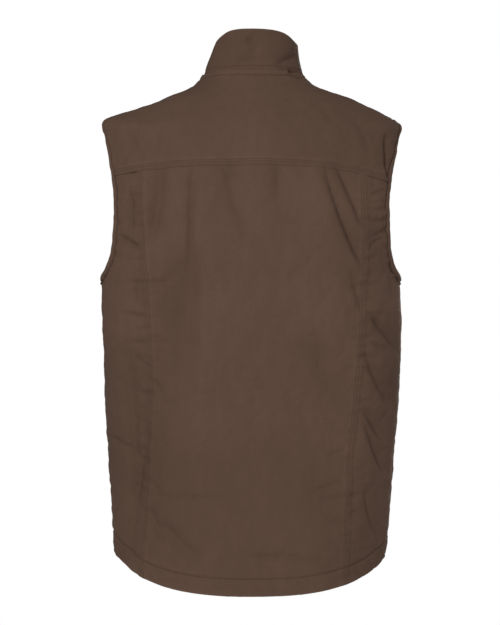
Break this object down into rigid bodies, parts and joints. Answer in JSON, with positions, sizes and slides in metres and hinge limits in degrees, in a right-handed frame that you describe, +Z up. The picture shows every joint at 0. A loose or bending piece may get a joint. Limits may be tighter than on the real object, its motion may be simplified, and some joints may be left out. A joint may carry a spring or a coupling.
{
  "type": "work vest",
  "caption": "Sleeveless canvas work vest in its worn form, with a stand collar, a lapped back yoke, shaped back seams, a dropped tail and a plain zipped front.",
  "frame": {"origin": "on the shoulder line at the middle of the neck, where the vest hangs on the wearer's shoulders", "axes": "+Z up along the body, -Y out of the back, +X to the wearer's right"},
  "size_m": [0.4314, 0.261, 0.7927],
  "materials": {
    "canvas": "matt brown cotton canvas",
    "zip": "dark brown moulded zip"
  },
  "bodies": {
    "root": {"back_yoke": "canvas", "back_centre_panel": "canvas", "back_side_panel_left": "canvas", "back_side_panel_right": "canvas", "front_panel_left": "canvas", "front_panel_right": "canvas", "collar": "canvas", "armhole_band_left": "canvas", "armhole_band_right": "canvas", "front_zip": "zip"}
  },
  "joints": []
}
